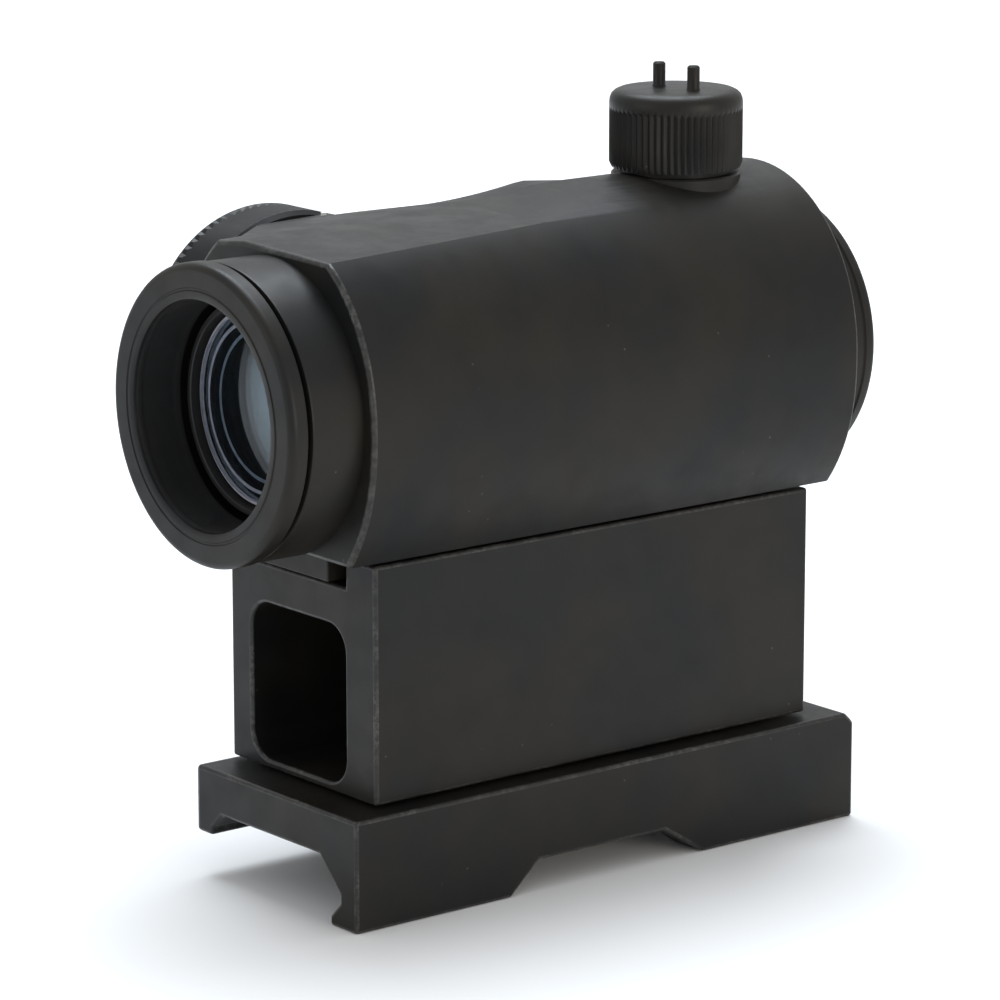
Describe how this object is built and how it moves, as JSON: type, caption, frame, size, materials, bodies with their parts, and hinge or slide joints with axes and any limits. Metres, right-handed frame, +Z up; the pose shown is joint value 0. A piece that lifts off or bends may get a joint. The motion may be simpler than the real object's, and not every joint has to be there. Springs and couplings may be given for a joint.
{
  "type": "reflex sight on a rail riser",
  "caption": "Compact tube reflex sight with capped turrets and a rotary switch, on a tall hollow riser with a lever-clamped rail base.",
  "frame": {"origin": "middle of the flat that sits on top of the rail", "axes": "+Z up away from the rail; optical axis along Y, objective end towards -Y; switch, windage turret and clamp lever on -X"},
  "size_m": [0.04, 0.0694, 0.0732],
  "materials": {
    "black_anodised": "bead-blasted black anodise",
    "dull_black": "matt black lining",
    "black_steel": "blackened steel",
    "bright_steel": "bright steel",
    "brass": "turned brass",
    "rubber": "moulded rubber",
    "coated_glass": "blue anti-reflection coating",
    "clear_glass": "clear",
    "board": "green solder mask",
    "lamp": "clear red epoxy"
  },
  "bodies": {
    "root": {"bias_spring": "black_steel", "detent_ball": "bright_steel", "detent_spring": "bright_steel", "elevation_retaining_ring": "black_steel", "front_bezel": "black_anodised", "front_seal": "rubber", "housing": "black_anodised", "knob_spindle_screw": "black_steel", "lever_pivot_screw": "black_steel", "ocular_window": "clear_glass", "optic_screw_1": "black_steel", "optic_screw_2": "black_steel", "optic_screw_3": "black_steel", "optic_screw_4": "black_steel", "rail_base": "black_anodised", "rear_bezel": "black_anodised", "rear_seal": "rubber", "riser": "black_anodised", "riser_screw_1": "black_steel", "riser_screw_2": "black_steel", "riser_screw_3": "black_steel", "riser_screw_4": "black_steel", "switch_board": "board", "windage_retaining_ring": "black_steel"},
    "elevation_cap_lift": {"elevation_cap_seal": "rubber"},
    "elevation_cap": {"elevation_cap": "black_anodised"},
    "elevation_screw": {"elevation_screw": "brass"},
    "windage_cap_lift": {"windage_cap_seal": "rubber"},
    "windage_cap": {"windage_cap": "black_anodised"},
    "windage_screw": {"windage_screw": "brass"},
    "pivot_collar": {"pivot_collar": "brass"},
    "inner_tube": {"inner_tube": "dull_black", "objective_front_element": "coated_glass", "objective_rear_element": "coated_glass", "emitter_bracket": "black_steel", "led_emitter": "lamp"},
    "brightness_knob": {"brightness_knob": "black_anodised", "cell": "bright_steel"},
    "cell_cap_lift": {"cell_cap_seal": "rubber"},
    "cell_cap": {"cell_cap": "black_anodised"},
    "clamp_lever": {"clamp_lever": "black_anodised"},
    "clamp_jaw": {"clamp_jaw": "black_steel"}
  },
  "joints": [
    {"name": "elevation_cap_rise", "type": "slide", "parent": "root", "child": "elevation_cap_lift", "axis": [0, 0, 1], "range_m": [0, 0.0015]},
    {"name": "elevation_cap_turn", "type": "hinge", "parent": "elevation_cap_lift", "child": "elevation_cap", "pos_m": [0, 0.0182, 0.0646], "axis": [0, 0, 1], "range_deg": [0, 1080]},
    {"name": "elevation_adjust", "type": "hinge", "parent": "root", "child": "elevation_screw", "pos_m": [0, 0.0182, 0.0595], "axis": [0, 0, 1], "range_deg": [-360, 360]},
    {"name": "windage_cap_rise", "type": "slide", "parent": "root", "child": "windage_cap_lift", "axis": [-1, 0, 0], "range_m": [0, 0.0015]},
    {"name": "windage_cap_turn", "type": "hinge", "parent": "windage_cap_lift", "child": "windage_cap", "pos_m": [-0.0227, 0.0182, 0.04], "axis": [-1, 0, 0], "range_deg": [0, 1080]},
    {"name": "windage_adjust", "type": "hinge", "parent": "root", "child": "windage_screw", "pos_m": [-0.0176, 0.0182, 0.04], "axis": [-1, 0, 0], "range_deg": [-360, 360]},
    {"name": "tube_yaw", "type": "hinge", "parent": "root", "child": "pivot_collar", "pos_m": [0, -0.025, 0.04], "axis": [0, 0, 1], "range_deg": [-0.5, 0.5]},
    {"name": "tube_pitch", "type": "hinge", "parent": "pivot_collar", "child": "inner_tube", "pos_m": [0, -0.025, 0.04], "axis": [1, 0, 0], "range_deg": [-0.5, 0.5]},
    {"name": "brightness_turn", "type": "hinge", "parent": "root", "child": "brightness_knob", "pos_m": [-0.0188, -0.0151, 0.0414], "axis": [-1, 0, 0], "range_deg": [0, 330]},
    {"name": "cell_cap_rise", "type": "slide", "parent": "brightness_knob", "child": "cell_cap_lift", "axis": [-1, 0, 0], "range_m": [0, 0.001]},
    {"name": "cell_cap_turn", "type": "hinge", "parent": "cell_cap_lift", "child": "cell_cap", "pos_m": [-0.0232, -0.0151, 0.0414], "axis": [-1, 0, 0], "range_deg": [0, 720]},
    {"name": "lever_swing", "type": "hinge", "parent": "root", "child": "clamp_lever", "pos_m": [-0.01905, 0.012, -0.001], "axis": [0, 0, -1], "range_deg": [0, 105]},
    {"name": "jaw_release", "type": "slide", "parent": "root", "child": "clamp_jaw", "axis": [-1, 0, 0], "range_m": [0, 0.0016]}
  ],
  "couplings": [
    {"joint": "elevation_cap_turn", "follows": "elevation_cap_rise", "rad_per_m": 12566},
    {"joint": "windage_cap_turn", "follows": "windage_cap_rise", "rad_per_m": 12566},
    {"joint": "cell_cap_turn", "follows": "cell_cap_rise", "rad_per_m": 12566},
    {"joint": "elevation_adjust", "follows": "tube_pitch", "ratio": 720},
    {"joint": "windage_adjust", "follows": "tube_yaw", "ratio": 720},
    {"joint": "jaw_release", "follows": "lever_swing", "m_per_rad": 0.00087221}
  ]
}
